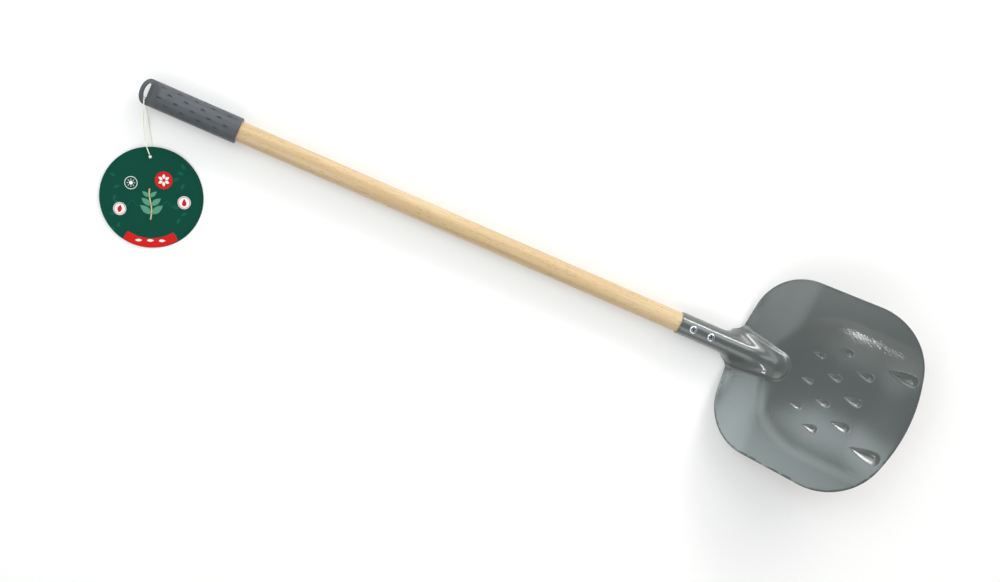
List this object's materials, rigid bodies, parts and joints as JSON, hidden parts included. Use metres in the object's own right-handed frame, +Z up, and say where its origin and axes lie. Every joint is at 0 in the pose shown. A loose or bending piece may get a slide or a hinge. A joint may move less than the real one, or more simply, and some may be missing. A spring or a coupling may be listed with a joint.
{
  "type": "garden shovel",
  "caption": "Long-handled child's garden shovel with a dished steel blade, rolled socket, wooden handle, rubber grip with a hanging eye and a round hang tag on a string.",
  "frame": {"origin": "on the floor under the middle of the shovel's bounding box, the hang tag left out", "axes": "+X along the handle to the tip of the blade, +Y to the left seen from above with the grip at the back, +Z up out of the front of the blade, the shovel lying on its back"},
  "size_m": [0.8263, 0.2441, 0.0734],
  "materials": {
    "painted_steel": "glossy grey-green powder coat",
    "beech": "pale beech, clear satin lacquer",
    "rubber": "satin blue-grey moulded rubber",
    "zinc": "bright zinc plate",
    "elastic": "pale braided elastic",
    "green_card": "coated dark green card"
  },
  "bodies": {
    "shovel": {"blade": "painted_steel", "handle": "beech", "grip": "rubber", "upper_screw": "zinc", "lower_screw": "zinc"},
    "tag": {"tag_string": "elastic", "string_knot": "elastic", "tag_back_leaf": "green_card"},
    "front_leaf": {"tag_front_leaf": "green_card"}
  },
  "joints": [
    {"name": "tag_swing", "type": "hinge", "parent": "shovel", "child": "tag", "pos_m": [-0.40228, -0.0108, 0.01333], "axis": [-0.9041, -0.4274, 0], "range_deg": [0, 90]},
    {"name": "leaf_swivel", "type": "hinge", "parent": "tag", "child": "front_leaf", "pos_m": [-0.3795, -0.05899, 0.0023], "axis": [0.0071, -0.015, 0.9999], "range_deg": [-45, 45]}
  ]
}
